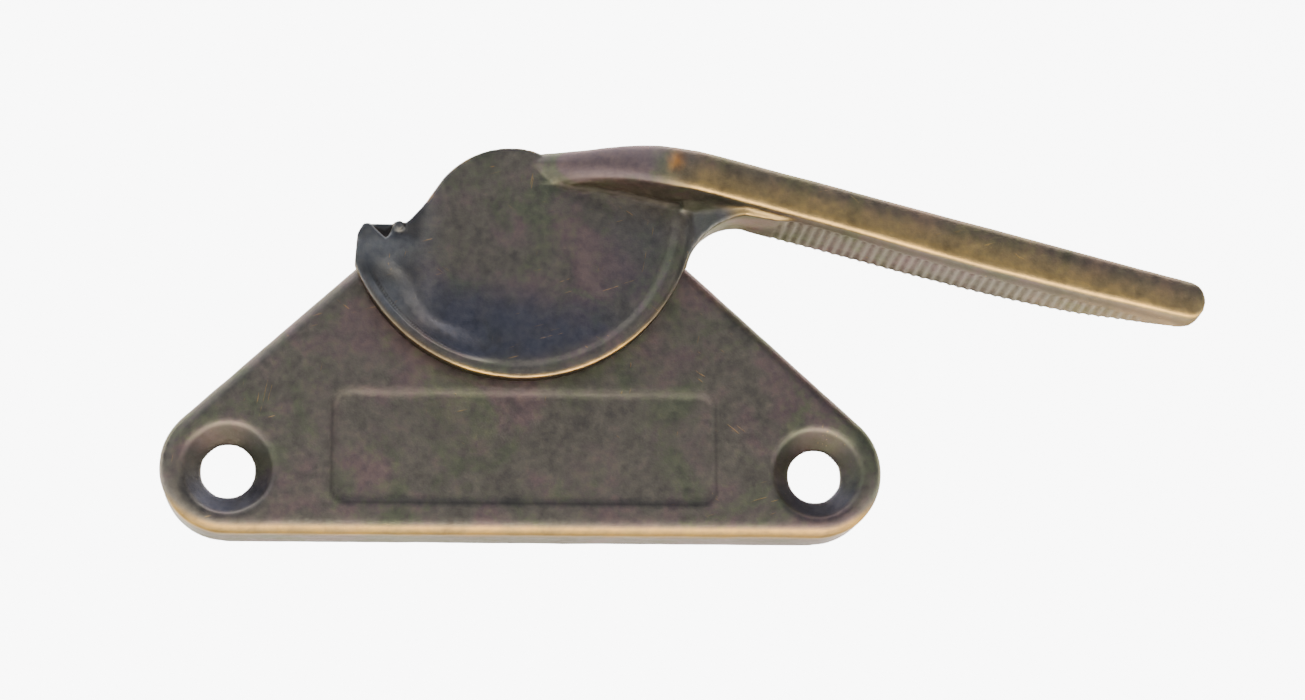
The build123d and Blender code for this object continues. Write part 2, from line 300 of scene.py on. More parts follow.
@dataclass(frozen=True)
class AgedBronze:
    """The castings' brown-black patina, rubbed through to bright bronze where hands and edges wear it, with
    painted shade and painted highlight in its colour.

    Attributes:
        name: The material's name.
        brown: The patina's main colour.
        plum: Its reddish patches.
        moss: Its greenish patches.
        shaded_slate: Dark blue-grey painted shade for the dish, below the arm and in the countersinks.
        gold: Bare metal on worn edges.
        lit_handled: The thinner patina of the lever's front, also the colour of painted highlight on faces
            turned to the light from below.
        rust: The warm stain at the elbow.
        ash: The pale, bluish bloom on the crescent's leading end.
        edge_tint: How much of the glancing reflection the patina lets through.
        dirt_and_shade: The near-black of dirt and painted shade in inner corners.
        shade_colour: The dark colour of painted shade, where the light from below leaves faces dark.
        horn: The paler, polished ribs of the thumb faces.
        rub: How far the outer edges are worn.
        offset: Shift that keeps two castings from sharing one pattern.
    """

    name: str
    brown: Point3 = (0.153, 0.138, 0.115)
    plum: Point3 = (0.15, 0.112, 0.112)
    moss: Point3 = (0.12, 0.13, 0.09)
    shaded_slate: Point3 = (0.075, 0.078, 0.1)
    gold: Point3 = (0.8, 0.44, 0.08)
    lit_handled: Point3 = (0.36, 0.215, 0.055)
    rust: Point3 = (0.45, 0.2, 0.05)
    ash: Point3 = (0.15, 0.155, 0.163)
    edge_tint: Point3 = (0.4, 0.37, 0.33)
    dirt_and_shade: Point3 = (0.03, 0.026, 0.024)
    shade_colour: Point3 = (0.03, 0.028, 0.026)
    horn: Point3 = (0.3, 0.27, 0.22)
    rub: float = 0.35
    offset: float = 0.0

    def material(self) -> bpy.types.Material:
        """Build the node material.

        Returns:
            The material.
        """
        s = Shader.named(self.name)
        shifted = s.node("ShaderNodeMapping", {"vector_type": "POINT"},
                         {"Vector": s.place(), "Location": (self.offset, 0.0, self.offset)})
        broad = s.noise(11.0, 3, 0.6, 0.6, shifted)
        patch = s.noise(3.2, 4, 0.62, 0.4, shifted)
        fine = s.noise(0.8, 3, 0.6, 0.0, shifted)
        speck = s.noise(0.22, 2, 0.5, 0.0, shifted)
        scratch = self._scratches(s)
        shelter, held = s.attribute("shelter"), s.attribute("held")

        # Painted shade: the patina darkens towards a near-black on faces marked as left dark by the light
        # from below.
        colour = s.mix(shelter * (0.6 + 0.4 * fine), self._patina(s, broad, patch, fine), self.shade_colour)
        wear = s.attribute("wear") * self.rub * (1.0 - shelter)
        worn = (wear * (1.0 + 0.9 * held + 1.8 * (patch - 0.4)) + (fine - 0.5) * 0.25).step(0.22, 0.75)
        colour = s.mix((worn * 0.9).highest(scratch * 0.2), colour, self.gold)
        colour = s.mix(s.attribute("rib") * 0.3, colour, self.horn)
        # Inner corners darken: partly dirt, partly painted shade.
        grime_and_shade = (s.attribute("hollow") * (0.6 + patch) * (1.0 - 0.5 * held)).step(0.06, 0.5)
        colour = s.mix(grime_and_shade * 0.8, colour, self.dirt_and_shade)

        rough = 0.34 + 0.2 * fine + 0.1 * (speck - 0.5) + 0.25 * grime_and_shade - 0.12 * worn - 0.04 * held
        relief = 0.5 * fine + 0.3 * patch + 0.2 * speck - 0.2 * scratch
        return s.surface({"Base Color": colour, "Metallic": 1.0, "Roughness": rough,
                          "Specular Tint": self.edge_tint, "Normal": s.bump(relief, 0.055)})

    def _patina(self, s: Shader, broad: Wire, patch: Wire, fine: Wire) -> Wire:
        """Mix the patina's colours, with its painted shade and painted highlight, before wear and the
        darkened corners.

        Args:
            s: The shader.
            broad: Noise about a centimetre across.
            patch: Noise of a few millimetres.
            fine: Noise under a millimetre.

        Returns:
            The colour.
        """
        other = s.noise(7.5, 4, 0.62, 0.8, s.turned((1.0, 1.0, 1.0), (40, 15, 70)))
        cool, tint, held, stain = (s.attribute(name) for name in ("cool", "tint", "held", "stain"))
        colour = s.mix((0.55 * broad + 0.45 * patch).step(0.44, 0.6), self.brown, self.plum)
        colour = s.mix((0.8 * other + 0.2 * fine).step(0.47, 0.64) * 0.85, colour, self.moss)
        # Painted shade: blue-grey slate where the dish and the countersinks fall in shade.
        colour = s.mix((cool * (0.55 + 0.9 * (patch - 0.3))).step(0.0, 0.9), colour, self.shaded_slate)
        colour = s.mix((tint * (0.6 + patch)).step(0.0, 1.2), colour, self.ash)
        colour = s.mix((tint * (-0.6 - patch)).step(0.0, 1.2), colour, self.plum)
        # Painted highlight: a warmer, paler brown on faces turned to the light from below, and on the lever's
        # rubbed front.
        colour = s.mix(held * (0.65 + 0.6 * (patch - 0.35)), colour, self.lit_handled)
        colour = s.mix((stain * (0.2 + 1.6 * (patch - 0.1))).step(0.15, 0.9), colour, self.rust)
        tones = [(0.36, (0.7, 0.7, 0.74)), (0.5, (1.0, 1.0, 1.0)), (0.64, (1.34, 1.3, 1.2))]
        return s.mix(1.0, colour, s.ramp((broad + patch + fine) * (1 / 3), tones), "MULTIPLY")

    def _scratches(self, s: Shader) -> Wire:
        """Draw sparse hairline scratches in three directions.

        Args:
            s: The shader.

        Returns:
            1 on a scratch.
        """
        total: Wire | None = None
        for angle in (12.0, -52.0, 74.0):
            line = s.noise(0.26, 2, 0.5, 0.1, s.turned((1.0, 1.0, 12.0), (0, angle, 0))).step(0.69, 0.73)
            line = line * s.noise(5.0, 2, 0.5, 0.0, s.turned((1.0, 1.0, 1.0), (0, 0, angle))).step(0.58, 0.66)
            total = line if total is None else total.highest(line)
        return total


@dataclass(frozen=True)
class SmallSteel:
    """The bare and plated metal of the gear behind the base.

    Attributes:
        name: The material's name.
        colour: Its colour.
        dull: The colour of stains on it.
        finish: How it was finished, which sets the grain.
        roughness: Its mean roughness.
    """

    name: str
    colour: Point3
    dull: Point3
    finish: Steel
    roughness: float = 0.32

    def material(self) -> bpy.types.Material:
        """Build the node material.

        Returns:
            The material.
        """
        s = Shader.named(self.name)
        stain = s.noise(2.4, 4, 0.6, 0.5)
        fine = s.noise(0.35, 2, 0.5)
        grain = self._grain(s)
        colour = s.mix(stain.step(0.45, 0.7) * 0.7, self.colour, self.dull)
        colour = s.mix((fine - 0.4) * 0.4, colour, (0.08, 0.07, 0.06))
        rough = self.roughness + 0.22 * (stain - 0.5) + 0.12 * (fine - 0.5)
        return s.surface({"Base Color": colour, "Metallic": 1.0, "Roughness": rough,
                          "Normal": s.bump(grain + 0.4 * fine, 0.02)})

    def _grain(self, s: Shader) -> Wire:
        """Draw the marks that the tool left.

        Args:
            s: The shader.

        Returns:
            Their height.
        """
        if self.finish is Steel.TURNED:
            pivot = Pivot.from_frame().place
            inputs = {"Vector": s.place(), "Location": (-pivot.x, 0.0, -pivot.z), "Rotation": (pi / 2, 0, 0)}
            where = s.node("ShaderNodeMapping", {"vector_type": "POINT"}, inputs)
            settings = {"wave_type": "RINGS", "rings_direction": "Z"}
            return s.node("ShaderNodeTexWave", settings, {"Vector": where, "Scale": 900.0, "Distortion": 1.0})
        if self.finish is Steel.BLUED:
            return s.noise(0.5, 2, 0.5, 0.0, s.turned((20.0, 1.0, 1.0)))
        if self.finish is Steel.PRESSED:
            return s.noise(0.4, 3, 0.6, 0.0, s.turned((1.0, 1.0, 12.0), (0, 8, 0)))
        return s.noise(0.18, 3, 0.65)


@dataclass(frozen=True)
class PaleSheet:
    """The plain pale surface that the lock is shown over.

    Attributes:
        name: The material's name.
        colour: Its colour.
        glow: How strongly light comes through it.
    """

    name: str = "pale_surround"
    colour: Point3 = (0.86, 0.86, 0.85)
    glow: float = 0.0

    def material(self) -> bpy.types.Material:
        """Build the matt material.

        Returns:
            The material.
        """
        s = Shader.named(self.name)
        faint = s.mix(s.noise(120.0, 3, 0.5).step(0.3, 0.7) * 0.3, self.colour, (0.82, 0.82, 0.815))
        return s.surface({"Base Color": faint, "Roughness": 0.9, "Emission Color": (1.0, 1.0, 1.0),
                          "Emission Strength": self.glow})


# ---------------------------------------------------------------- solids in the bench frame


def ring_points(x: float, y: float, r: float, z: float, count: int = 64) -> list[Point3]:
    """Return points round a circle parallel to the mounting face."""
    return [(x + r * cos(2 * pi * i / count), y + r * sin(2 * pi * i / count), z) for i in range(count)]


def arc_points(x: float, y: float, r: float, start: float, end: float, count: int) -> list[Point2]:
    """Return points along an arc, both ends included.

    Args:
        x: Centre.
        y: Centre.
        r: Radius.
        start: First angle, in degrees.
        end: Last angle, in degrees.
        count: Number of points.

    Returns:
        The points.
    """
    steps = [radians(start + (end - start) * i / (count - 1)) for i in range(count)]
    return [(x + r * cos(a), y + r * sin(a)) for a in steps]


def at(points: Sequence[Point2], z: float) -> list[Point3]:
    """Lift flat points to one depth."""
    return [(x, y, z) for x, y in points]


def loft(*rings: Sequence[Point3]) -> BMesh:
    """Join rings of equally many points into one closed solid.

    Args:
        rings: The rings, from the rear to the front.

    Returns:
        The solid.
    """
    bm = bmesh.new()
    verts = [bm.verts.new(p) for p in rings[0]]
    first = bm.faces.new(verts)
    edges, ordered = list(first.edges), verts
    for ring in rings[1:]:
        made = bmesh.ops.extrude_edge_only(bm, edges=edges)["geom"]
        new = [g for g in made if isinstance(g, bmesh.types.BMVert)]
        edges = [g for g in made if isinstance(g, bmesh.types.BMEdge)
                 and all(v in new for v in g.verts)]
        above = {old: next(e.other_vert(old) for e in old.link_edges if e.other_vert(old) in new)
                 for old in ordered}
        ordered = [above[old] for old in ordered]
        for vert, place in zip(ordered, ring):
            vert.co = place
    bm.faces.new(ordered)
    bmesh.ops.recalc_face_normals(bm, faces=bm.faces[:])
    return bm


def hull(points: Sequence[Point3]) -> BMesh:
    """Stretch a convex solid over some points.

    Args:
        points: The points.

    Returns:
        The solid.
    """
    bm = bmesh.new()
    verts = [bm.verts.new(p) for p in points]
    made = bmesh.ops.convex_hull(bm, input=verts)
    loose = [g for g in made["geom_interior"] if isinstance(g, bmesh.types.BMVert)]
    bmesh.ops.delete(bm, geom=loose, context="VERTS")
    bmesh.ops.recalc_face_normals(bm, faces=bm.faces[:])
    return bm


def drum(x: float, y: float, r0: float, r1: float, z0: float, z1: float, count: int = 64) -> BMesh:
    """Make a round solid that may taper.

    Args:
        x: Axis.
        y: Axis.
        r0: Radius at the rear.
        r1: Radius at the front.
        z0: Depth of the rear.
        z1: Depth of the front.
        count: Number of sides.

    Returns:
        The solid.
    """
    bm = bmesh.new()
    bmesh.ops.create_cone(bm, cap_ends=True, segments=count, radius1=r0, radius2=r1, depth=z1 - z0,
                          matrix=Matrix.Translation((x, y, (z0 + z1) / 2)))
    return bm


def lathe(x: float, y: float, profile: Sequence[Point2], count: int = 96) -> BMesh:
    """Turn a profile about the depth direction.

    Args:
        x: Axis.
        y: Axis.
        profile: Radius and depth of each point, starting and ending on the axis.
        count: Steps in the turn.

    Returns:
        The solid.
    """
    bm = bmesh.new()
    verts = [bm.verts.new((x + r, y, z)) for r, z in profile]
    edges = [bm.edges.new(pair) for pair in zip(verts, verts[1:])]
    bmesh.ops.spin(bm, geom=verts + edges, cent=(x, y, 0), axis=(0, 0, 1), angle=2 * pi, steps=count,
                   use_merge=True)
    bmesh.ops.remove_doubles(bm, verts=bm.verts[:], dist=1e-5)
    bmesh.ops.recalc_face_normals(bm, faces=bm.faces[:])
    return bm


def halve(solid: BMesh, point: Point3, outward: Point3) -> BMesh:
    """Cut a solid by a plane and close it.

    Args:
        solid: The solid, which is changed.
        point: A point on the plane.
        outward: The side that is removed.

    Returns:
        The solid.
    """
    geometry = solid.verts[:] + solid.edges[:] + solid.faces[:]
    made = bmesh.ops.bisect_plane(solid, geom=geometry, plane_co=point, plane_no=outward, clear_outer=True)
    bmesh.ops.holes_fill(solid, edges=[g for g in made["geom_cut"] if isinstance(g, bmesh.types.BMEdge)])
    bmesh.ops.recalc_face_normals(solid, faces=solid.faces[:])
    return solid


def rise(value: np.ndarray, low: float, high: float) -> np.ndarray:
    """Return a smooth rise from 0 at low to 1 at high."""
    t = np.clip((value - low) / (high - low), 0, 1)
    return t * t * (3 - 2 * t)


def fall(value: np.ndarray, low: float, high: float) -> np.ndarray:
    """Return a smooth fall from 1 at low to 0 at high."""
    return 1 - rise(value, low, high)


def hill(value: np.ndarray, middle: float, width: float) -> np.ndarray:
    """Return a smooth hill of height 1."""
    return np.exp(-((value - middle) / width) ** 2)


@dataclass(frozen=True)
class Skin:
    """A casting's points and the way that each one faces, in the bench frame.

    Attributes:
        points: One row for each point, in millimetres.
        normals: One row for each point's direction.
    """

    points: np.ndarray
    normals: np.ndarray

    @classmethod
    def of(cls, mesh: bpy.types.Mesh) -> "Skin":
        """Read a mesh.

        Args:
            mesh: The mesh.

        Returns:
            Its skin.
        """
        points = np.zeros(len(mesh.vertices) * 3)
        mesh.vertices.foreach_get("co", points)
        normals = np.zeros(len(mesh.vertices) * 3, np.float32)
        mesh.vertex_normals.foreach_get("vector", normals)
        return cls(points.reshape(-1, 3), normals.reshape(-1, 3).astype(float))

    @property
    def place(self) -> np.ndarray:
        """Return the points' x, y and z as three rows."""
        return self.points.T

    @property
    def facing(self) -> np.ndarray:
        """Return the directions' x, y and z as three rows."""
        return self.normals.T

    def away(self, x: float, y: float) -> np.ndarray:
        """Return each point's distance from an axis at right angles to the mounting face."""
        return np.hypot(self.points[:, 0] - x, self.points[:, 1] - y)


Rule = Callable[[Skin], np.ndarray]


@dataclass
class Casting:
    """A cast piece: solids melted into one skin, softened as a die leaves them, then stood upright.

    Attributes:
        name: The piece's name.
        grain: Size of the skin's facets, in millimetres.
        relax: How many times the skin is smoothed.
        ripple: Height of its faint unevenness, in millimetres.
        solids: What it is cast from so far.
    """

    name: str
    grain: float
    relax: int = 2
    ripple: float = 0.03
    solids: list[BMesh] = field(default_factory=list)

    def add(self, *solids: BMesh) -> None:
        """Add solids to the casting."""
        self.solids.extend(solids)

    def _mesh(self, solids: Sequence[BMesh], label: str) -> bpy.types.Object:
        """Join solids into one scene object, and free them.

        Args:
            solids: The solids.
            label: The object's name.

        Returns:
            The object.
        """
        mesh = bpy.data.meshes.new(label)
        whole = bmesh.new()
        for solid in solids:
            solid.to_mesh(mesh)
            whole.from_mesh(mesh)
            solid.free()
        whole.to_mesh(mesh)
        whole.free()
        thing = bpy.data.objects.new(label, mesh)
        bpy.context.scene.collection.objects.link(thing)
        return thing

    def _applied(self, thing: bpy.types.Object) -> bpy.types.Mesh:
        """Apply an object's modifiers.

        Args:
            thing: The object.

        Returns:
            The mesh that they make.
        """
        graph = bpy.context.evaluated_depsgraph_get()
        graph.update()
        return bpy.data.meshes.new_from_object(thing.evaluated_get(graph))

    def cut(self, *cutters: BMesh) -> None:
        """Cut solids out of everything that was added before, which leaves one solid.

        Args:
            cutters: What is cut away.
        """
        body = self._mesh(self.solids, self.name + "_raw")
        tools = [self._mesh([cutter], self.name + "_tool") for cutter in cutters]
        for tool in tools:
            change = body.modifiers.new("cut", "BOOLEAN")
            change.operation = "DIFFERENCE"
            change.solver = "EXACT"
            change.use_self = True
            change.object = tool
        result = bmesh.new()
        result.from_mesh(self._applied(body))
        for thing in (body, *tools):
            bpy.data.objects.remove(thing)
        self.solids = [result]

    def _melt(self) -> BMesh:
        """Melt the solids into one even skin and soften it.

        Returns:
            The skin.
        """
        body = self._mesh(self.solids, self.name + "_raw")
        melt = body.modifiers.new("melt", "REMESH")
        melt.mode = "VOXEL"
        melt.voxel_size = self.grain
        skin = bmesh.new()
        skin.from_mesh(self._applied(body))
        bpy.data.objects.remove(body)
        for _ in range(self.relax):
            bmesh.ops.smooth_vert(skin, verts=skin.verts[:], factor=0.5, use_axis_x=True, use_axis_y=True,
                                  use_axis_z=True)
        return skin

    def finish(self, marks: dict[str, Rule], shape: Rule | None = None) -> bpy.types.Object:
        """Make the finished piece.

        Args:
            marks: Numbers to store on the points for the finish, by name, each from the skin.
            shape: Returns how far each point moves. It carves what is finer than the solids, such as grooves.

        Returns:
            The piece, upright and at the origin.
        """
        melted = self._melt()
        mesh = bpy.data.meshes.new(self.name)
        melted.to_mesh(mesh)
        melted.free()
        skin = Skin.of(mesh)
        if shape is not None:
            mesh.vertices.foreach_set("co", (skin.points + shape(skin)).ravel())
            mesh.update()
            skin = Skin.of(mesh)
        bend = curvature(mesh, skin, self.grain)
        stored = {"wear": np.clip(bend, 0, 1), "hollow": np.clip(-bend, 0, 1)}
        stored |= {label: rule(skin) for label, rule in marks.items()}
        mesh.vertices.foreach_set("co", (skin.points + self._swell(skin)).ravel())
        for label, values in stored.items():
            store = mesh.attributes.new(label, "FLOAT", "POINT")
            store.data.foreach_set("value", values.astype(np.float32))
        mesh.transform(STAND)
        mesh.shade_smooth()
        mesh.update()
        piece = bpy.data.objects.new(self.name, mesh)
        bpy.context.scene.collection.objects.link(piece)
        return piece

    def _swell(self, skin: Skin) -> np.ndarray:
        """Work out the casting's faint unevenness, which only ever sinks its skin.

        Args:
            skin: The skin.

        Returns:
            How far each point moves.
        """
        waves = [noise.noise(Vector(p) * 0.22) + 0.5 * noise.noise(Vector(p) * 0.6) for p in skin.points]
        return skin.normals * ((np.array(waves) - 1) * self.ripple)[:, None]


def neighbour_mean(pairs: np.ndarray, values: np.ndarray) -> np.ndarray:
    """Average each point's neighbours.

    Args:
        pairs: The two ends of each edge.
        values: A number or a row for each point.

    Returns:
        Each point's mean over the points that it shares an edge with.
    """
    total = np.zeros_like(values)
    count = np.zeros(len(values))
    for a, b in ((pairs[:, 0], pairs[:, 1]), (pairs[:, 1], pairs[:, 0])):
        np.add.at(total, a, values[b])
        np.add.at(count, a, 1)
    return total / np.maximum(count, 1).reshape(-1, *([1] * (values.ndim - 1)))


def curvature(mesh: bpy.types.Mesh, skin: Skin, grain: float) -> np.ndarray:
    """Measure how sharply each point stands out.

    Args:
        mesh: The mesh.
        skin: Its points and normals.
        grain: Its facet size.

    Returns:
        About 1 on a sharp outer edge, about -1 in a sharp inner corner, and 0 on the flat.
    """
    pairs = np.zeros(len(mesh.edges) * 2, np.int64)
    mesh.edges.foreach_get("vertices", pairs)
    pairs = pairs.reshape(-1, 2)
    spread = skin.points
    for _ in range(3):
        spread = neighbour_mean(pairs, spread)
    bend = np.einsum("ij,ij->i", skin.points - spread, skin.normals) / grain
    for _ in range(2):
        bend = neighbour_mean(pairs, bend)
    return bend * 2.2


# ---------------------------------------------------------------- the lock


@dataclass(frozen=True)
class Pivot:
    """Where the spindle is.

    Attributes:
        place: A point on its axis, in the row frame.
    """

    place: Vector

    @classmethod
    def from_frame(cls) -> "Pivot":
        """Read the pivot from the lock's one joint."""
        return cls(Vector(frame["joints"][0]["pos_m"]))

    @property
    def up(self) -> float:
        """Height above the screws, in millimetres."""
        return self.place.z / MM


def dress(piece: bpy.types.Object, finish: bpy.types.Material) -> None:
    """Give a piece its one material."""
    piece.data.materials.clear()
    piece.data.materials.append(finish)


@dataclass
class BaseCasting:
    """The triangular base, hollow behind.

    Attributes:
        end: Centre of the right rounded end, in millimetres.
        end_r: Its radius.
        top_r: Radius of the rounded top, round the spindle.
        depth: Mounting face to front.
        skin: Thickness of the front.
        wall: Thickness of the sides.
        edge_r: Rounding of the front edge.
        hole_x: Screw hole, off the middle.
        hole_r: Its radius.
        sink_r: Radius of its countersink.
        sink_depth: Depth of its countersink.
        panel: Width, height, centre height, depth and corner radius of the sunk panel.
        seat: Radius and depth of the spindle seat.
        bush_r: Radius of the bore for the bush.
        boss: Radius and rear depth of the boss round the bush.
        cover_x: Half width of the rear cover's ledge.
        cover_thick: Depth of that ledge.
        posts: Centres of the right-hand cover posts.
        post_r: Their radius.
        overlap: How far the boss and posts run into the front.
    """

    end: Point2 = (30.1, 0.3)
    end_r: float = 6.8
    top_r: float = 9.1
    depth: float = 7.0
    skin: float = 2.5
    wall: float = 1.8
    edge_r: float = 1.3
    hole_x: float = 30.0
    hole_r: float = 2.65
    sink_r: float = 4.7
    sink_depth: float = 2.19
    panel: tuple[float, float, float, float, float] = (39.1, 11.5, 2.4, 0.2, 1.6)
    seat: Point2 = (7.0, 1.0)
    bush_r: float = 5.0
    boss: Point2 = (6.9, 4.0)
    cover_x: float = 20.0
    cover_thick: float = 0.8
    posts: tuple[Point2, ...] = ((16.2, 0.2), (13.8, 13.6))
    post_r: float = 2.3
    overlap: float = 0.2

    def corners(self) -> list[tuple[float, float, float]]:
        """Return centre and radius of the three rounded corners."""
        x, y = self.end
        return [(-x, y, self.end_r), (x, y, self.end_r), (0.0, Pivot.from_frame().up, self.top_r)]

    def body(self) -> BMesh:
        """Stretch the solid block over its corners, with its rounded front edge.

        Returns:
            The block.
        """
        points: list[Point3] = []
        for x, y, r in self.corners():
            points += ring_points(x, y, r, 0.0)
            for i in range(7):
                turn = radians(15 * i)
                inset, z = self.edge_r * (1 - cos(turn)), self.depth - self.edge_r * (1 - sin(turn))
                points += ring_points(x, y, r - inset, z)
        return hull(points)

    def band(self, inset: float, z0: float, z1: float, half_width: float | None = None) -> BMesh:
        """Return a slab of the base's outline.

        Args:
            inset: How far the outline is drawn in.
            z0: Its rear.
            z1: Its front.
            half_width: Where it is cut off to each side, if it is.

        Returns:
            The slab.
        """
        points = [p for x, y, r in self.corners() for z in (z0, z1) for p in ring_points(x, y, r - inset, z)]
        slab = hull(points)
        for side in (-1, 1) if half_width is not None else ():
            halve(slab, (side * half_width, 0, 0), (side, 0, 0))
        return slab

    def panel_cutter(self) -> BMesh:
        """Shape the tool that sinks the plain panel, with drafted sides.

        Returns:
            The tool.
        """
        width, height, y, depth, r = self.panel
        points: list[Point3] = []
        for draft, z in ((0.0, self.depth - depth), (0.1, self.depth + 0.5)):
            for sx in (-1, 1):
                for sy in (-1, 1):
                    points += ring_points(sx * (width / 2 - r), y + sy * (height / 2 - r), r + draft, z, 24)
        return hull(points)

    def hole_cutter(self, side: int) -> BMesh:
        """Turn the tool for one countersunk hole.

        Args:
            side: -1 for the left hole, 1 for the right.

        Returns:
            The tool.
        """
        top = self.depth
        profile = [(0, -1), (self.hole_r, -1), (self.hole_r, top - self.sink_depth), (self.sink_r, top),
                   (self.sink_r + 0.5, top + 0.5), (0, top + 0.5)]
        return lathe(side * self.hole_x, 0, profile)

    def build(self) -> bpy.types.Object:
        """Cast the base.

        Returns:
            The piece, upright.
        """
        up = Pivot.from_frame().up
        inner = self.depth - self.skin + self.overlap
        cast = Casting("base_casting", grain=0.27, ripple=0.035)
        cast.add(self.body())
        cast.cut(self.band(self.wall, -1, self.depth - self.skin))
        boss_r, boss_rear = self.boss
        cast.add(drum(0, up, boss_r, boss_r, boss_rear, inner))
        for side in (-1, 1):
            for x, y in self.posts:
                cast.add(drum(side * x, y, self.post_r, self.post_r, self.cover_thick, inner))
        seat_r, seat_depth = self.seat
        cast.cut(self.band(self.wall / 2, -1, self.cover_thick, self.cover_x), self.panel_cutter(),
                 drum(0, up, seat_r, seat_r, self.depth - seat_depth, self.depth + 1),
                 drum(0, up, self.bush_r, self.bush_r, -1, self.depth + 1),
                 *[self.hole_cutter(side) for side in (-1, 1)])
        return cast.finish({"cool": self.cool, "held": self.held, "shelter": self.shelter})

    def cool(self, skin: Skin) -> np.ndarray:
        """Find where painted shade darkens the patina to slate: most low in the countersinks.

        Args:
            skin: The casting's points.

        Returns:
            A share for each.
        """
        x, y, _ = skin.place
        radius = np.hypot(np.abs(x) - self.hole_x, y)
        return fall(radius, self.sink_r - 0.6, self.sink_r + 0.1) * (0.2 + 0.8 * fall(y, -3.0, 1.5))

    def held(self, skin: Skin) -> np.ndarray:
        """Find the painted highlight on the down-facing lower front edge, where hands also thin the patina.

        Args:
            skin: The casting's points.

        Returns:
            A share for each.
        """
        _, y, z = skin.place
        return fall(skin.facing[1], -0.65, -0.2) * fall(y, -4.5, -1.0) * rise(z, 4.2, 5.6)

    def shelter(self, skin: Skin) -> np.ndarray:
        """Find the painted shade: in the panel's outline, high in the countersinks and on the lower wall.

        Args:
            skin: The casting's points.

        Returns:
            A share for each.
        """
        x, y, z = skin.place
        width, height, middle, _, r = self.panel
        across, up = np.abs(x) - width / 2 + r, np.abs(y - middle) - height / 2 + r
        away = np.hypot(np.maximum(across, 0), np.maximum(up, 0)) + np.minimum(np.maximum(across, up), 0) - r
        outline = hill(away, 0.0, 0.22) * rise(z, self.depth - 1.0, self.depth - 0.6)
        radius = np.hypot(np.abs(x) - self.hole_x, y)
        sink = fall(radius, self.sink_r - 0.5, self.sink_r + 0.2) * rise(y, -1.0, 2.0)
        wall = fall(skin.facing[1], -0.97, -0.8)
        return np.maximum.reduce([0.5 * outline, 0.85 * sink, 0.38 * wall])

    def make(self) -> bpy.types.Object:
        """Build, dress and place the base.

        Returns:
            The piece.
        """
        piece = self.build()
        dress(piece, AgedBronze("aged_bronze_base", offset=0.31).material())
        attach(piece, Body.BASE.value)
        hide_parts("base_housing")
        return piece


@dataclass
class LeverFrame:
    """The straight lever's own directions: along it from the elbow, and down across it.

    Attributes:
        elbow: Its top edge at the elbow, in millimetres.
        slope: Its slope, in degrees.
    """

    elbow: Point2 = (15.6, 32.25)
    slope: float = -14.2

    def point(self, along: float, across: float) -> Point2:
        """Return the bench position of a point given in the lever's directions."""
        c, s = cos(radians(self.slope)), sin(radians(self.slope))
        return (self.elbow[0] + along * c + across * s, self.elbow[1] + along * s - across * c)

    def split(self, x: np.ndarray, y: np.ndarray) -> tuple[np.ndarray, np.ndarray]:
        """Return the share of a bench direction along the lever, and down across it."""
        c, s = cos(radians(self.slope)), sin(radians(self.slope))
        return x * c + y * s, x * s - y * c

    def inverse(self, skin: Skin) -> tuple[np.ndarray, np.ndarray]:
        """Return how far along and across the lever a skin's points are."""
        x, y, _ = skin.place
        return self.split(x - self.elbow[0], y - self.elbow[1])


@dataclass(frozen=True)
class Station:
    """The arm's cross-section at one place.

    Attributes:
        top: Its top edge, in millimetres.
        slope: The arm's slope there, in degrees.
        ridge: Top edge to the front's lower ridge.
        thick: Top edge to the thumb face's rear edge.
        crown: Depth of the front.
        heel: Depth of the rear.
        squeeze: Share of its full size, which falls towards the tip.
        soft: How far the ridge is rounded, as a multiple of the lever's.
    """

    top: Point2
    slope: float
    ridge: float
    thick: float
    crown: float
    heel: float
    squeeze: float = 1.0
    soft: float = 1.0

    def ring(self) -> list[Point3]:
        """Draw the section, from its top edge over the front.

        Returns:
            Its points.
        """
        deep = max(self.crown - self.heel, 0.8)
        half, width, spread = deep * 0.5, self.ridge, self.thick - self.ridge
        # The front: distance from the top edge, and depth below the crown.
        front = [(0.02, 0.85), (0.14, 0.46), (0.4, 0.22), (0.9, 0.08), (width * 0.4, 0.0)]
        front += [(width - a * self.soft, d * self.soft)
                  for a, d in ((1.2, 0.03), (0.7, 0.12), (0.33, 0.3), (0.1, 0.52), (0.0, 0.8))]
        # The thumb face, the rear and the upper face: the same, with the depth as a share of the whole.
        rest = [(width + spread * 0.3, 0.3), (width + spread * 0.65, 0.6), (self.thick, 0.93),
                (self.thick - 0.25, 1.0), (0.3, 1.0), (0.0, 0.94), (0.0, 0.6), (0.0, 0.3)]
        ring = [(a, self.crown - min(d, half)) for a, d in front]
        ring += [(a, self.crown - max(deep * d, min(1.0, half))) for a, d in rest]
        middle, level = self.thick * 0.45, self.crown - half
        c, s = cos(radians(self.slope)), sin(radians(self.slope))
        placed = [(middle + (a - middle) * self.squeeze, level + (z - level) * self.squeeze) for a, z in ring]
        return [(self.top[0] + a * s, self.top[1] - a * c, z) for a, z in placed]


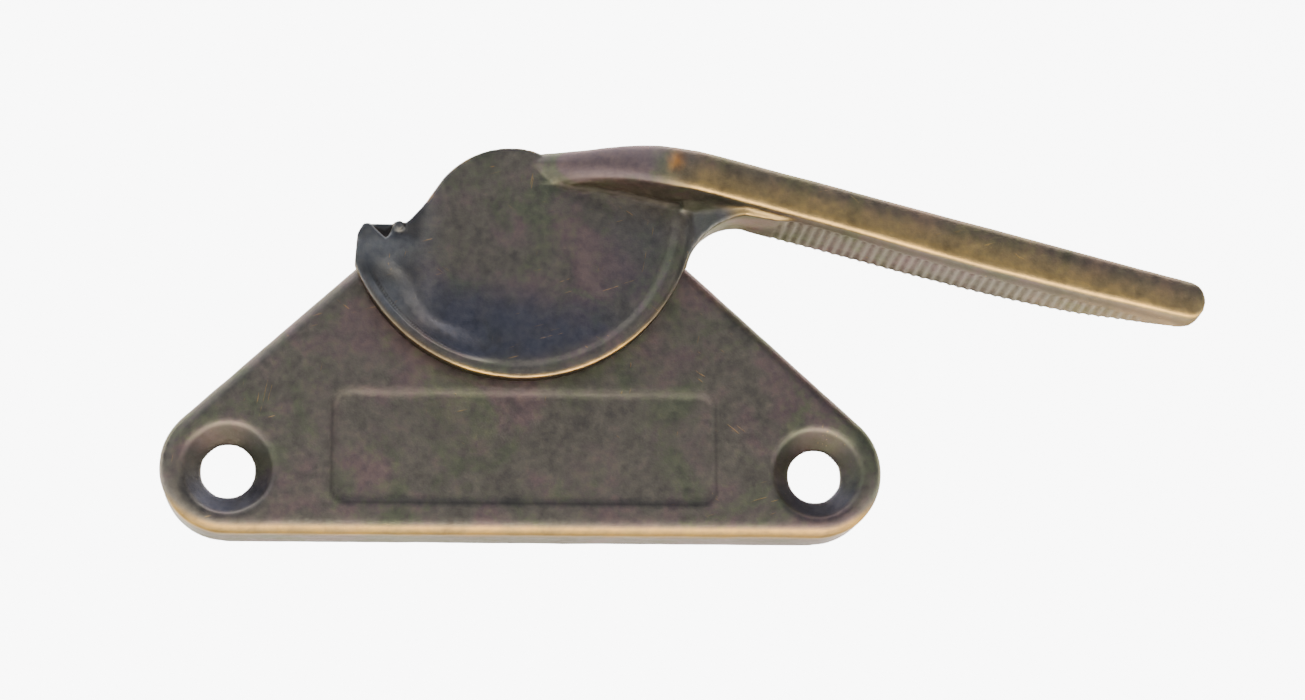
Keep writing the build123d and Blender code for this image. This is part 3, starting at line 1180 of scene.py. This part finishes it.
@dataclass
class CamLever:
    """The crescent, its hub and the thumb lever, cast in one.

    Attributes:
        rim: Centre and radius of the crescent's outer circle, in millimetres.
        back: Depth of its rear face.
        front: Depth of the rim's front.
        dish: Centre and radius of the hollow inside the rim.
        dish_end: Where the hollow stops on the right.
        slope: Width of the rim's inner slope.
        step: Drop down that slope.
        sag: How much deeper the hollow's middle is.
        hub: Centre and radius of the hub.
        nose: Left side, top and inner side of the crescent's leading end.
        groove: Radii of the shallow groove inside the rim on the left.
        lever: The lever's directions.
        length: Elbow to tip.
        tip_round: How far before the tip it starts to close in.
        width: Top edge to the front's lower ridge.
        thick: Top edge to thumb face, at the rear.
        crown: Depth of the lever's front at the elbow.
        crown_drop: How much lower the front is at the tip.
        heel: Depth of its rear edge.
        straight: Where the rear edge starts to rise.
        tip_heel: Depth of the rear edge at the tip.
        rib_pitch: Spacing of the grooves on the thumb faces.
        rib_depth: Depth of a groove.
        rib_span: Where the grooves start and end.
        web_hollow: Centre and radius of the hollow between the crescent and the lever.
        stem_r: Radius of the stem behind the crescent, which sits in the base.
        rust_spot: Middle of the warm stain at the elbow.
    """

    rim: tuple[float, float, float] = (-0.7, 26.9, 17.95)
    back: float = 7.9
    front: float = 10.1
    dish: tuple[float, float, float] = (-1.0, 26.9, 16.9)
    dish_end: float = 16.3
    slope: float = 0.95
    step: float = 0.37
    sag: float = 0.8
    hub: tuple[float, float, float] = (-1.5, 24.4, 9.1)
    nose: tuple[float, float, float] = (-17.4, 25.3, -12.7)
    groove: Point2 = (14.1, 17.05)
    lever: LeverFrame = field(default_factory=LeverFrame)
    length: float = 56.0
    tip_round: float = 1.7
    width: float = 4.3
    thick: float = 5.3
    crown: float = 16.0
    crown_drop: float = 0.45
    heel: float = 8.15
    straight: float = 28.0
    tip_heel: float = 13.7
    rib_pitch: float = 0.97
    rib_depth: float = 0.09
    rib_span: Point2 = (11.2, 52.0)
    web_hollow: tuple[float, float, float] = (21.57, 20.24, 5.07)
    stem_r: float = 6.6
    rust_spot: Point2 = (14.9, 30.5)

    def plate(self) -> BMesh:
        """Draw the crescent's plate, with the hub's outline above, and round its front edge a little.

        Returns:
            The plate.
        """
        x, y, r = self.rim
        left, top, inner = self.nose
        nose_foot = 20.8
        outline = arc_points(x, y, r, 180 + degrees(asin((y - nose_foot) / r)), 362, 96)
        outline += [(15.0, 30.5), (6.0, 32.0), (2.6, 32.4)]
        outline += arc_points(*self.hub, 76, 142, 24)
        outline += [(-10.6, 27.2), (-11.8, 25.8), (inner, top - 0.35), (inner - 1.2, top), (left + 1.5, top),
                    (left + 0.55, top - 0.45), (left + 0.05, top - 1.4)]
        inner_x, inner_y, shrink, bevel = x + 1.0, y - 5.0, 0.007, 0.15
        drawn = [(px - shrink * (px - inner_x), py - shrink * (py - inner_y)) for px, py in outline]
        return loft(at(outline, self.back), at(outline, self.front - bevel), at(drawn, self.front))

    def dish_cutter(self) -> BMesh:
        """Turn the tool that hollows the crescent's front inside its rim.

        Returns:
            The tool, cut off on the right.
        """
        x, y, r = self.dish
        foot = r - self.slope
        floor = self.front - self.step
        ball = (foot ** 2 + self.sag ** 2) / (2 * self.sag)
        radii = [foot * i / 20 for i in range(21)]
        profile = [(q, floor - self.sag + ball - sqrt(ball ** 2 - q ** 2)) for q in radii]
        profile += [(r, self.front), (r + 0.3, self.front + 0.5), (0, self.front + 0.5)]
        tool = lathe(x, y, profile, 144)
        return halve(tool, (self.dish_end, 0, 0), (1, 0, 0))

    def nose_cutter(self) -> BMesh:
        """Shape the tool for the slanting lead-in on the crescent's leading end.

        Returns:
            The tool.
        """
        left, top, inner = self.nose
        low = [(left + 0.5, top + 0.6), (inner - 1.0, top + 0.6), (inner - 1.0, top - 0.5),
               (inner - 1.65, top - 1.8)]
        return loft(at(low, self.front - 1.5), at(low, self.front + 1))

    def nose_parts(self) -> list[BMesh]:
        """Shape the land behind the lead-in and the small nub beside it.

        Returns:
            Both.
        """
        left, top, inner = self.nose
        end = [(left + 0.7, top - 0.2), (left + 0.1, top - 1.3)]
        land = [(left + 0.1, top - 5.0), (left + 1.5, top - 4.5), (inner - 1.3, top - 3.7),
                (inner - 1.2, top - 2.5), (inner - 1.6, top - 1.7)] + end
        foot = [(left + 1.7, top - 7.2), (left + 2.7, top - 7.7), (inner + 0.9, top - 6.9),
                (inner + 1.0, top - 2.5), (inner + 0.6, top - 1.7)] + end
        nub = drum(inner - 0.35, top - 0.45, 0.62, 0.5, self.back, self.front - 0.25, 20)
        return [loft(at(foot, self.back), at(foot, self.front - 0.62), at(land, self.front - 0.4)), nub]

    def web(self) -> BMesh:
        """Draw the web that ties the crescent's right end to the lever, with its sloping front.

        Returns:
            The web.
        """
        outline = [(14.6, 19.6)] + arc_points(*self.web_hollow, 172, 84, 20)
        under_lever = ((11.5, 4.9), (14.0, 4.3), (14.0, 2.0), (6.0, 2.0), (0.5, 2.0))
        outline += [self.lever.point(*place) for place in under_lever] + [(14.6, 27.6)]
        solid = loft(at(outline, self.heel), at(outline, self.crown - 1.5))
        return halve(solid, (17.4, 22.9, self.front), (-0.87, -0.15, 1.0))

    def web_fillet(self) -> BMesh:
        """Stretch the steep fillet between the web and the arm above it.

        Returns:
            The fillet.
        """
        points: list[Point3] = []
        for along, high, low in ((1.5, 4.4, -0.5), (4.0, 4.8, 0.8), (9.0, 4.8, 4.6)):
            (ax, ay), (bx, by) = self.lever.point(along, 3.4), self.lever.point(along, 5.5 - 0.1 * along)
            points += [(ax, ay, self.front + high), (ax, ay, self.back + 0.5)]
            points += [(bx, by, self.front + low), (bx, by, self.back + 0.5)]
        return hull(points)

    def crown_depth(self, along: float | np.ndarray) -> float | np.ndarray:
        """Return the depth of the lever's front at one place along it."""
        return self.crown - self.crown_drop * along / self.length

    def heel_depth(self, along: float) -> float:
        """Return the depth of the lever's rear edge at one place along it."""
        t = max(0.0, (along - self.straight) / (self.length - self.straight))
        return self.heel + (self.tip_heel - self.heel) * t ** 2.1

    def root_stations(self) -> list[Station]:
        """List the sections from the hub's top to the elbow, where the arm climbs out of the dish.

        Returns:
            The sections.
        """
        # Top edge, slope, width of the front, and depth of the front.
        places = [(-1.2, 32.4, -1.0, 2.0, 8.7), (0.6, 32.85, -0.5, 2.5, 9.0), (1.8, 33.05, 0.0, 2.95, 9.4),
                  (3.8, 33.02, 0.0, 3.2, 10.3), (5.8, 33.0, 0.0, 3.3, 11.3), (7.8, 33.0, -0.5, 3.45, 12.3),
                  (9.7, 32.97, -2.0, 3.7, 13.25), (11.6, 32.84, -5.0, 3.97, 14.15),
                  (13.4, 32.6, -8.5, 4.15, 14.9), (15.0, 32.27, -11.5, 4.25, 15.42)]
        return [Station((x, y), slope, ridge, ridge + 0.5, crown, self.back, soft=1.5 - 0.04 * x)
                for x, y, slope, ridge, crown in places]

    def lever_stations(self) -> list[Station]:
        """List the sections of the straight lever, closing in at its tip.

        Returns:
            The sections.
        """
        made = []
        for along in (1.6, 3.5, 6, 9, *range(12, 49, 4), 51, 53, 54.2, 55, 55.5, 55.85, self.length):
            past = max(0.0, along - (self.length - self.tip_round)) / self.tip_round
            # The thumb face narrows towards the tip and the elbow, and its ridge sags in the middle.
            thick = self.thick - 0.75 * max(0.0, (along - 42) / 14) - 0.8 * max(0.0, 1 - along / 9)
            sag = 0.25 * max(0.0, 1 - abs(along - 32) / 16)
            ridge = self.width - 0.3 * max(0.0, (along - 46) / 10) + sag
            crown = self.crown_depth(along) - 0.45 * 2.7 ** (-along / 2.0)
            made.append(Station(self.lever.point(along, 0), self.lever.slope, ridge, thick, crown,
                                self.heel_depth(along), squeeze=sqrt(max(1 - past ** 2, 0.06)), soft=0.5))
        return made

    def carve(self, skin: Skin) -> np.ndarray:
        """Cut the fine grooves across both thumb faces, and the relief of the crescent's front.

        Args:
            skin: The casting's points.

        Returns:
            How far each moves.
        """
        inside, cut = self._grooves(skin)
        deep = self.rib_depth * self._thumb_facing(skin, 0.6, 0.85) * inside * cut
        move = -skin.normals * deep[:, None]
        move[:, 2] += self._relief(skin)
        return move

    def _thumb_facing(self, skin: Skin, low: float, high: float) -> np.ndarray:
        """Return how far each point faces up or down across the lever."""
        nx, ny, _ = skin.facing
        return rise(np.abs(self.lever.split(nx, ny)[1]), low, high)

    def _grooves(self, skin: Skin) -> tuple[np.ndarray, np.ndarray]:
        """Lay out the grooves of the thumb faces.

        Args:
            skin: The casting's points.

        Returns:
            Whether each point is in the grooved stretch, and how deep in a groove it is.
        """
        along, _ = self.lever.inverse(skin)
        start, end = self.rib_span
        border = 1.5 + 0.7 * rise(along, 14, 30)
        below = self.crown_depth(along) - skin.place[2]
        inside = rise(along, start, start + 0.4) * fall(along, end - 3.0, end)
        inside *= rise(below - border, 0.0, 0.4)
        cut = rise(0.5 - 0.5 * np.cos(2 * pi * (along - start) / self.rib_pitch), 0.05, 0.6)
        return inside, cut

    def rib(self, skin: Skin) -> np.ndarray:
        """Find the paler ribs between the grooves.

        Args:
            skin: The casting's points.

        Returns:
            A share for each.
        """
        inside, cut = self._grooves(skin)
        return inside * (1 - cut) * self._thumb_facing(skin, 0.3, 0.6)

    def _relief(self, skin: Skin) -> np.ndarray:
        """Sink the groove beside the rim and the pocket under the arm, and leave the groove's soft ridge.

        Args:
            skin: The casting's points.

        Returns:
            How far each rises.
        """
        x, y, z = skin.place
        middle_x, middle_y, _ = self.rim
        radius = skin.away(middle_x, middle_y)
        angle = np.degrees(np.arctan2(middle_y - y, middle_x - x))
        front = rise(skin.facing[2], 0.3, 0.7) * rise(z, 8.5, 8.8) * fall(z, 9.9, 10.0)
        inner, outer = self.groove
        inner = inner - 0.5 * hill(angle, 33, 6) + 0.4 * hill(angle, 52, 8)
        span = rise(angle, 20, 31) * fall(angle, 62, 84)
        sink = 0.3 * span * rise(radius - inner, -0.2, 1.5) * fall(radius, outer - 0.35, outer)
        ridge = 0.07 * rise(angle, 18, 22) * fall(angle, 56, 70) * hill(radius - inner, -0.2, 0.7)
        above = y - 29.6 + 0.36 * (x - 1.0)
        pocket = 0.12 * rise(above, -0.8, 1.2) * rise(x, 0.2, 2.0) * fall(x, 8.0, 14.5) * fall(y, 29.6, 29.85)
        return front * (ridge - sink - pocket)

    def cool(self, skin: Skin) -> np.ndarray:
        """Find where painted shade turns the dish blue-grey: low in the dish and on its right below the arm.

        Args:
            skin: The casting's points.

        Returns:
            A share for each.
        """
        x, y, z = skin.place
        dish = rise(skin.facing[2], 0.5, 0.9) * fall(z, 9.6, 9.9)
        low = fall(y + 0.15 * x, 14.5, 21.5)
        right = 0.5 * rise(x, 3, 11) * fall(y, 24, 30)
        return dish * np.maximum(low, right) * rise(x, -13.5, -8.5)

    def held(self, skin: Skin) -> np.ndarray:
        """Find the painted highlight on the lever's front, brightest towards its ridge, and low on the rim,
        where hands also thin the patina.

        Args:
            skin: The casting's points.

        Returns:
            A share for each.
        """
        along, across = self.lever.inverse(skin)
        _, y, z = skin.place
        front = 0.3 + 0.7 * rise(across, 0.8, 3.2) + 0.5 * rise(across, 3.0, 3.8)
        lever = front * rise(along, -3.0, 4.0) * rise(z, 12.6, 14.4) * rise(skin.facing[2], 0.1, 0.55)
        middle_x, middle_y, r = self.rim
        edge = rise(skin.away(middle_x, middle_y), r - 0.55, r - 0.25)
        return np.maximum(lever, 0.7 * edge * fall(y, 13.0, 20.0) * rise(z, 9.5, 9.8))

    def stain(self, skin: Skin) -> np.ndarray:
        """Find the one rusty spot, at the elbow.

        Args:
            skin: The casting's points.

        Returns:
            A share for each.
        """
        x, y, _ = skin.place
        spot_x, spot_y = self.rust_spot
        return 0.6 * hill(np.hypot(x - spot_x, (y - spot_y) * 0.8), 0.0, 1.5) * rise(skin.facing[2], 0.2, 0.6)

    def shelter(self, skin: Skin) -> np.ndarray:
        """Find where the casting gets painted shade.

        Args:
            skin: The casting's points.

        Returns:
            A share for each.
        """
        return np.clip(np.maximum(self._crescent_shade(skin), self._lever_shade(skin)), 0, 1)

    def _crescent_shade(self, skin: Skin) -> np.ndarray:
        """Find the painted shade on the crescent: its nose, the slope below that, the rim's two ends and its
        lower outer side.

        Args:
            skin: The casting's points.

        Returns:
            A share for each.
        """
        x, y, z = skin.place
        middle_x, middle_y, r = self.rim
        radius = skin.away(middle_x, middle_y)
        nose = fall(x, -11.5, -10.0) * rise(y, 22.8, 24.0) * (0.6 + 0.4 * fall(z, 9.2, 9.6))
        slope = hill(y, 19.9, 1.5) * fall(x, -12.0, -9.5)
        ends = np.maximum(fall(x, -10.0, -5.0), rise(x, 10.0, 14.0))
        edge = rise(radius, r - 0.7, r - 0.4) * fall(z, 10.2, 10.6) * ends
        side = rise(radius, r - 0.3, r - 0.1) * fall(z, 9.3, 9.7) * fall(y, 22.0, 25.0)
        return np.maximum.reduce([0.8 * nose, 0.7 * slope, 0.6 * edge, 0.9 * side])

    def _lever_shade(self, skin: Skin) -> np.ndarray:
        """Find the painted shade on the lever: under the arm, the web, and the thumb face below the ridge.

        Args:
            skin: The casting's points.

        Returns:
            A share for each.
        """
        x, y, z = skin.place
        _, ny, nz = skin.facing
        along, across = self.lever.inverse(skin)
        under = fall(ny, -0.5, -0.15) * rise(x, -1.5, 0.0) * fall(x, 14.0, 19.0) * rise(y, 25.5, 27.0)
        under *= rise(z, 8.9, 9.2) * (0.3 + 0.5 * fall(x, 2.0, 7.0))
        web = rise(x, 16.5, 17.5) * fall(along, 13.0, 14.5) * rise(across, 4.3, 4.7)
        web *= rise(nz, 0.1, 0.4) * rise(z, 9.9, 10.4)
        below = self.crown_depth(along) - z
        band = hill(below, 1.4, 0.75) * rise(along, 1.0, 5.0) * fall(ny, -0.8, -0.5)
        thumb = rise(along, 0.0, 3.0) * fall(ny, -0.9, -0.6)
        return np.maximum.reduce([under, 0.4 * web, 0.6 * band, 0.3 * thumb])

    def tint(self, skin: Skin) -> np.ndarray:
        """Find where the patina is bluish, at the leading end and web, or plum, on the root.

        Args:
            skin: The casting's points.

        Returns:
            A share for each, above 0 for bluish and below 0 for plum.
        """
        x, y, z = skin.place
        lead = fall(x, -15.0, -6.0) * rise(y, 11.0, 17.0)
        web = 0.6 * rise(x, 15.5, 17.0) * fall(y, 27.0, 28.0) * fall(z, 14.5, 15.2)
        root = 1.2 * rise(x, 0.0, 3.0) * fall(x, 11.0, 14.5) * rise(y, 29.3, 29.9) * rise(z, 9.6, 10.2)
        return np.maximum(lead, web) * rise(skin.facing[2], 0.3, 0.6) - root

    def build(self) -> bpy.types.Object:
        """Cast the crescent and lever.

        Returns:
            The piece, upright.
        """
        up = Pivot.from_frame().up
        cast = Casting("cam_and_lever", grain=0.2, ripple=0.03)
        cast.add(self.plate())
        cast.cut(self.dish_cutter())
        cast.add(*self.nose_parts())
        cast.cut(self.nose_cutter())
        arm = loft(*[station.ring() for station in self.root_stations() + self.lever_stations()])
        stem = drum(0, up, self.stem_r, self.stem_r, 6.6, self.back + 0.4)
        cast.add(arm, self.web(), self.web_fillet(), stem)
        marks = {"cool": self.cool, "held": self.held, "stain": self.stain, "rib": self.rib,
                 "shelter": self.shelter, "tint": self.tint}
        return cast.finish(marks, self.carve)

    def make(self) -> bpy.types.Object:
        """Build, dress and place the crescent and lever.

        Returns:
            The piece.
        """
        piece = self.build()
        finish = AgedBronze("aged_bronze_cam", lit_handled=(0.38, 0.262, 0.108), rub=0.5, offset=0.12)
        dress(piece, finish.material())
        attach(piece, Body.CAM.value)
        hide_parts("cam_lever")
        return piece


class Gear:
    """The spindle, detent and cover behind the base, which keep their CAD shapes."""

    steel = SmallSteel("turned_steel", (0.5, 0.49, 0.46), (0.24, 0.2, 0.16), Steel.TURNED, 0.3)
    spring = SmallSteel("blued_spring", (0.16, 0.18, 0.24), (0.1, 0.09, 0.09), Steel.BLUED, 0.28)
    sintered = SmallSteel("sintered_steel", (0.3, 0.29, 0.28), (0.16, 0.13, 0.11), Steel.PLATED, 0.45)
    pressed = SmallSteel("pressed_steel", (0.45, 0.44, 0.41), (0.25, 0.2, 0.16), Steel.PRESSED, 0.36)
    zinc = SmallSteel("yellow_zinc", (0.56, 0.53, 0.42), (0.38, 0.33, 0.22), Steel.PRESSED, 0.36)
    screws = SmallSteel("zinc_screws", (0.55, 0.53, 0.46), (0.3, 0.26, 0.2), Steel.PLATED, 0.3)
    brass = SmallSteel("turned_brass", (0.6, 0.45, 0.2), (0.35, 0.24, 0.1), Steel.TURNED, 0.28)

    def finishes(self) -> dict[str, SmallSteel]:
        """Return each CAD node's finish."""
        return {"spindle": self.steel, "spindle_bush": self.brass, "disc_spring": self.spring,
                "detent_block": self.sintered, "leaf_spring": self.spring, "stop_plate": self.pressed,
                "back_cover": self.zinc, "cover_screws": self.screws}

    def make(self) -> list[str]:
        """Dress every CAD node that stays.

        Returns:
            Their names.
        """
        made: dict[str, bpy.types.Material] = {}
        for node, finish in self.finishes().items():
            made.setdefault(finish.name, finish.material())
            dress(frame["nodes"][node], made[finish.name])
        return sorted(self.finishes())


# ---------------------------------------------------------------- studio


@dataclass
class Studio:
    """The floor, backdrop, lights and camera.

    Attributes:
        eye: The camera's place, in millimetres in the row frame.
        aim: What it looks at.
        focal: Its focal length, in millimetres.
        roll: Its roll, in degrees.
        floor: Height of the floor.
        wall: Depth of the backdrop.
    """

    eye: Point3 = (-17.6, -299.4, -52.1)
    aim: Point3 = (13.0, -8.0, 12.5)
    focal: float = 80.648
    roll: float = -0.478
    floor: float = -0.25
    wall: float = 0.95

    def camera(self) -> None:
        """Make the camera."""
        lens = bpy.data.cameras.new("camera")
        lens.sensor_width = 36.0
        lens.lens = self.focal
        lens.clip_start, lens.clip_end = 0.01, 10
        camera = bpy.data.objects.new("camera", lens)
        bpy.context.scene.collection.objects.link(camera)
        eye, aim = Vector(self.eye) * MM, Vector(self.aim) * MM
        turn = (aim - eye).to_track_quat("-Z", "Y").to_matrix().to_4x4()
        camera.matrix_world = Matrix.Translation(eye) @ turn @ Matrix.Rotation(radians(self.roll), 4, "Z")
        bpy.context.scene.camera = camera

    def sheet(self, name: str, size: float, place: Matrix, glow: float) -> None:
        """Add one pale surface.

        Args:
            name: Its name.
            size: Its width.
            place: Where it is.
            glow: How strongly it is lit from behind.
        """
        bm = bmesh.new()
        bmesh.ops.create_grid(bm, x_segments=1, y_segments=1, size=size / 2, matrix=place)
        mesh = bpy.data.meshes.new(name)
        bm.to_mesh(mesh)
        bm.free()
        surface = bpy.data.objects.new(name, mesh)
        bpy.context.scene.collection.objects.link(surface)
        dress(surface, PaleSheet(name + "_paper", glow=glow).material())

    def light(self, name: str, place: Point3, aim: Point3, size: float, watts: float,
              colour: Point3 = (1, 1, 1)) -> None:
        """Add one soft square light.

        Args:
            name: Its name.
            place: Where it is, in metres.
            aim: What it faces.
            size: Its width.
            watts: Its power.
            colour: Its colour.
        """
        lamp = bpy.data.lights.new(name, "AREA")
        lamp.size = size
        lamp.energy = watts
        lamp.color = colour
        thing = bpy.data.objects.new(name, lamp)
        thing.visible_camera = False
        bpy.context.scene.collection.objects.link(thing)
        turn = (Vector(aim) - Vector(place)).to_track_quat("-Z", "Y").to_matrix().to_4x4()
        thing.matrix_world = Matrix.Translation(place) @ turn

    def world(self) -> None:
        """Make the surround: plain and soft, brighter in front than above."""
        world = bpy.data.worlds.new("surround")
        bpy.context.scene.world = world
        s = Shader(world)
        up = s.node("ShaderNodeSeparateXYZ", {}, {"Vector": s.place()}, output="Z")
        stops = [(0.0, (0.85, 0.78, 0.66)), (0.46, (0.7, 0.69, 0.68)), (0.56, (0.5, 0.52, 0.58)),
                 (0.7, (0.3, 0.34, 0.43)), (1.0, (0.12, 0.16, 0.26))]
        colour = s.ramp(up * 0.5 + 0.5, stops)
        sky = s.node("ShaderNodeBackground", inputs={"Color": colour, "Strength": 1.0})
        s.node("ShaderNodeOutputWorld", inputs={"Surface": sky})

    def make(self) -> None:
        """Set up the whole studio."""
        self.camera()
        self.sheet("floor", 6.0, Matrix.Translation((0, 0, self.floor)), 0.0)
        upright = Matrix.Translation((0, self.wall, 0)) @ Matrix.Rotation(pi / 2, 4, "X")
        self.sheet("backdrop", 6.0, upright, 7.0)
        self.light("below", (0.02, -0.1, self.floor + 0.01), (0.02, -0.03, 0.01), 0.4, 2.45, (1.0, 0.8, 0.48))
        self.light("high_left", (-0.4, -0.5, 0.45), (0.01, 0, 0.01), 0.3, 0.6, (0.9, 0.95, 1.0))
        self.light("left", (-0.7, -0.3, 0.08), (0.01, 0, 0.01), 0.35, 0.15, (0.95, 0.96, 1.0))
        self.light("wall_wash", (0, 0.1, 0.9), (0, self.wall, 0.1), 1.0, 14.0)
        self.world()


def main() -> None:
    """Build the lock piece by piece, then the studio."""
    logging.basicConfig(level=logging.INFO, format="%(name)s: %(message)s")
    for part in (BaseCasting(), CamLever()):
        piece = part.make()
        LOG.info("%s: %d faces", piece.name, len(piece.data.polygons))
    LOG.info("CAD shapes kept: %s", ", ".join(Gear().make()))
    Studio().make()


if __name__ == "__main__":
    main()
